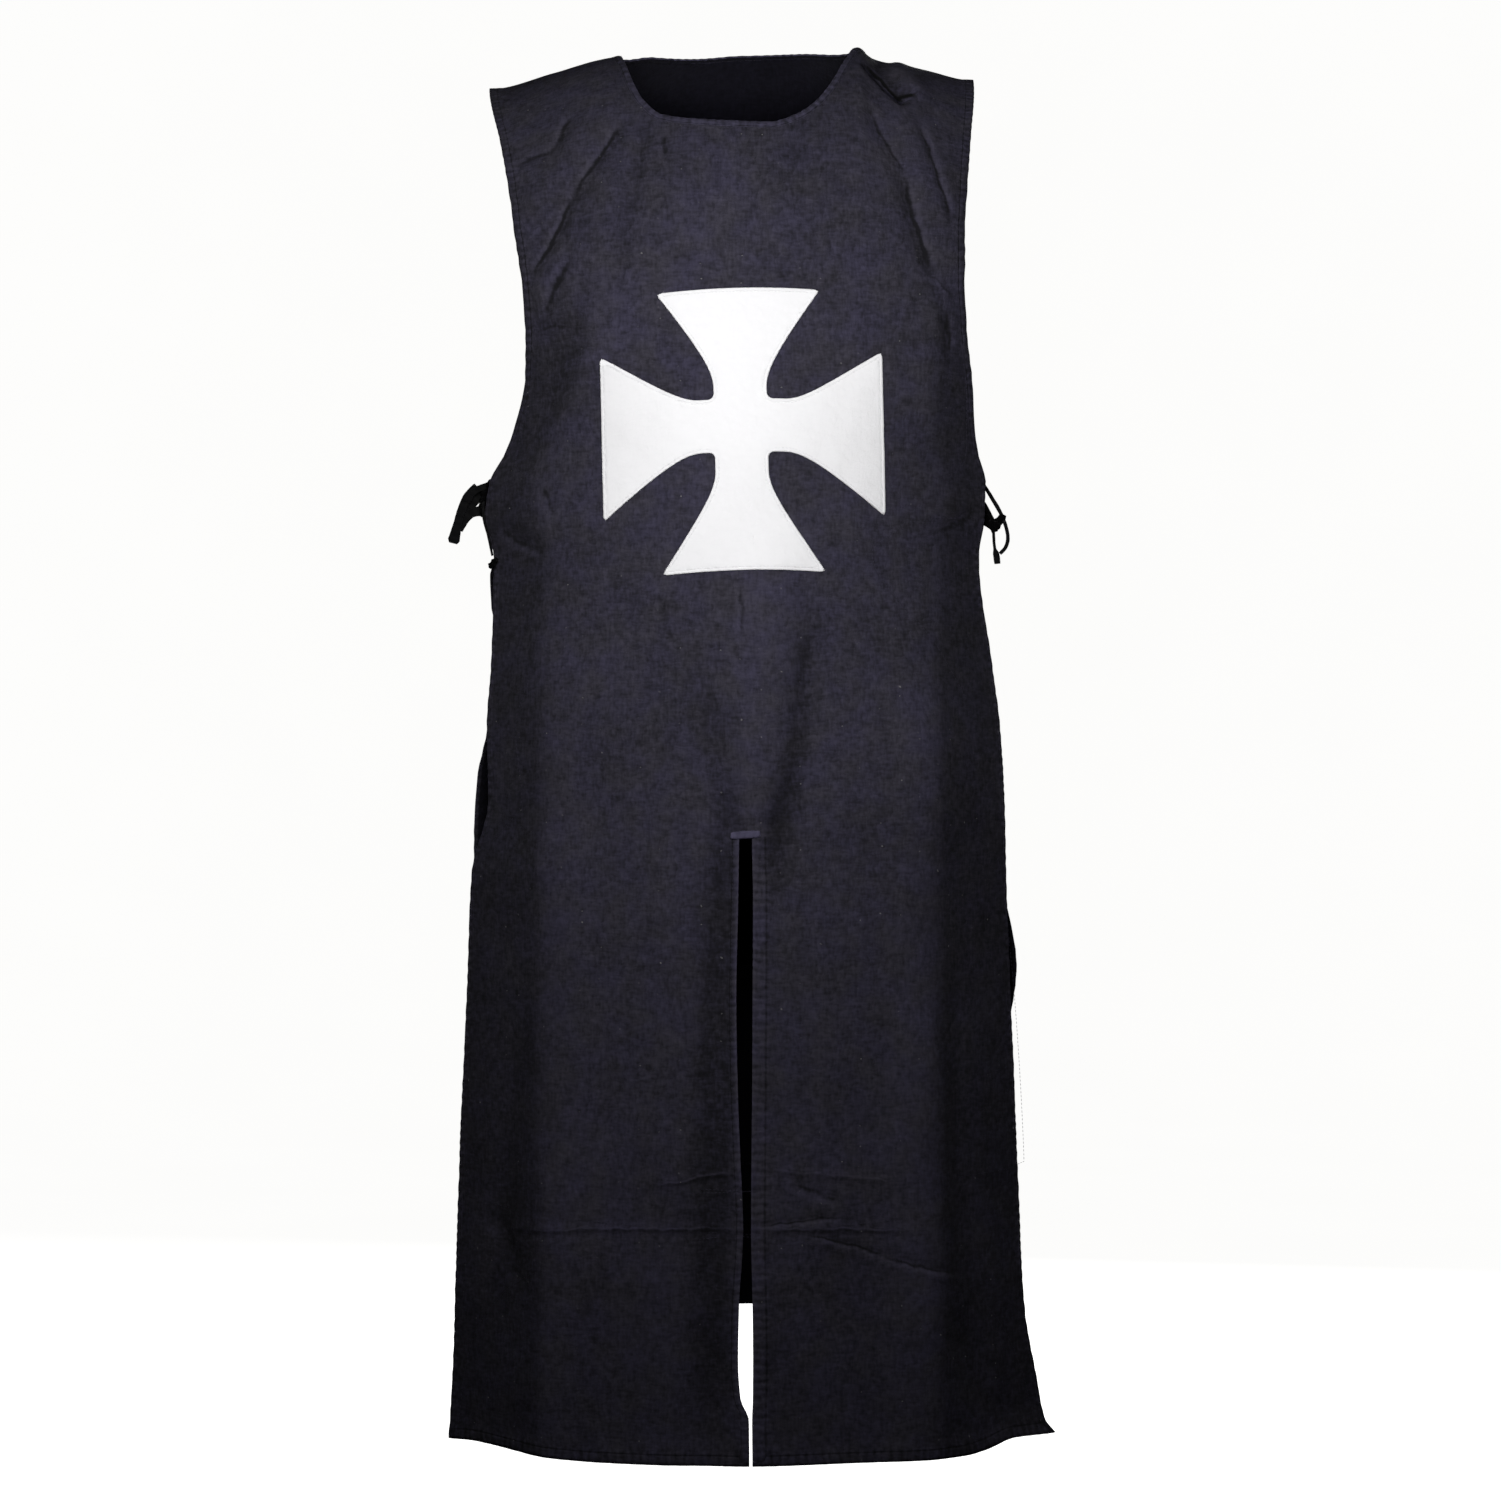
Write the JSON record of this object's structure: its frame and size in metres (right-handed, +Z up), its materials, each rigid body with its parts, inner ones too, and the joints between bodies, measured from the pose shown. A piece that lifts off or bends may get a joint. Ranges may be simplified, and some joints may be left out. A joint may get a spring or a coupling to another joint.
{
  "type": "medieval surcoat",
  "caption": "Sleeveless black surcoat with a white chest cross, hollow as worn, open at neck, arms and hem, tied at the waist and slit to the hem.",
  "frame": {"origin": "midway between the two neck points of the shoulder seams, where the wearer's shoulders carry the cloth", "axes": "+Z up along the garment's length, -Y out of its front, +X to the left of the wearer"},
  "size_m": [0.5311, 0.2704, 1.2317],
  "materials": {
    "black_cotton": "coarse plain-weave black cotton with pale slubs and a slight blue cast",
    "white_cotton": "white plain-weave cotton, edge sewn down",
    "binding": "folded black cotton edge",
    "tie": "narrow black cotton tape"
  },
  "bodies": {
    "root": {"front_panel": "black_cotton", "back_panel": "black_cotton", "neck_binding_front": "binding", "neck_binding_back": "binding", "cross_applique": "white_cotton", "tie_left_knot": "tie", "tie_left_loop": "tie", "tie_left_end": "tie", "tie_left_end_knot": "tie", "tie_right_knot": "tie", "tie_right_loop": "tie", "tie_right_end": "tie"}
  },
  "joints": []
}
